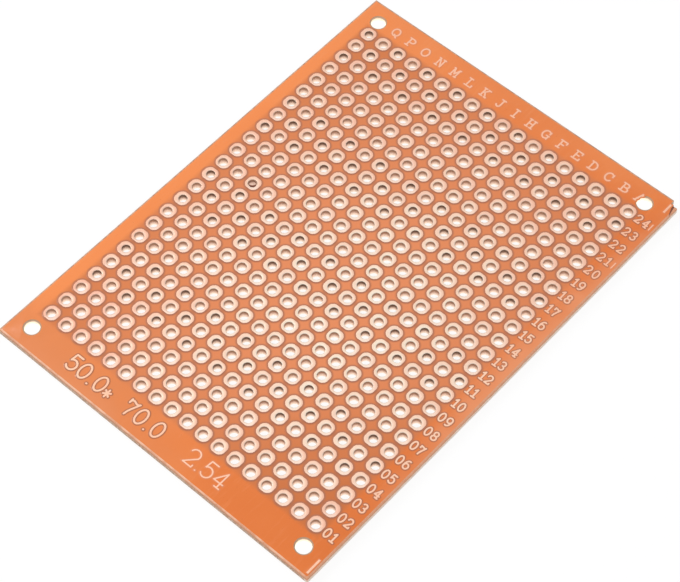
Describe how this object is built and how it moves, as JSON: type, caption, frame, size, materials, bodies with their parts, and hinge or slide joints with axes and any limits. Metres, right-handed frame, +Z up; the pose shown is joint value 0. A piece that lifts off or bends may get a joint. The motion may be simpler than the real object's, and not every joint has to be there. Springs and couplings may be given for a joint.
{
  "type": "prototype board",
  "caption": "Flat single-sided phenolic prototype board with a grid of octagonal copper pads, each drilled for a component lead, and a mounting hole near each corner.",
  "frame": {"origin": "middle of the underside of the board, over its snapped edges", "axes": "+X across the short side from column R to column A, +Y along the long side from row 01 to row 24, +Z up out of the copper side"},
  "size_m": [0.0508, 0.0696, 0.0012],
  "materials": {
    "laminate": "lacquered phenolic paper laminate, satin gloss, orange brown",
    "pad_copper": "bare copper foil under clear flux lacquer, pale and satin",
    "mark_copper": "thin etched copper lines under clear flux lacquer, satin"
  },
  "bodies": {
    "root": {"board": "laminate", "pads_column_a": "pad_copper", "pads_column_b": "pad_copper", "pads_column_c": "pad_copper", "pads_column_d": "pad_copper", "pads_column_e": "pad_copper", "pads_column_f": "pad_copper", "pads_column_g": "pad_copper", "pads_column_h": "pad_copper", "pads_column_i": "pad_copper", "pads_column_j": "pad_copper", "pads_column_k": "pad_copper", "pads_column_l": "pad_copper", "pads_column_m": "pad_copper", "pads_column_n": "pad_copper", "pads_column_o": "pad_copper", "pads_column_p": "pad_copper", "pads_column_q": "pad_copper", "pads_column_r": "pad_copper", "row_numbers": "mark_copper", "column_letters": "mark_copper", "size_mark": "mark_copper", "pitch_mark": "mark_copper", "edge_marks": "mark_copper"}
  },
  "joints": []
}
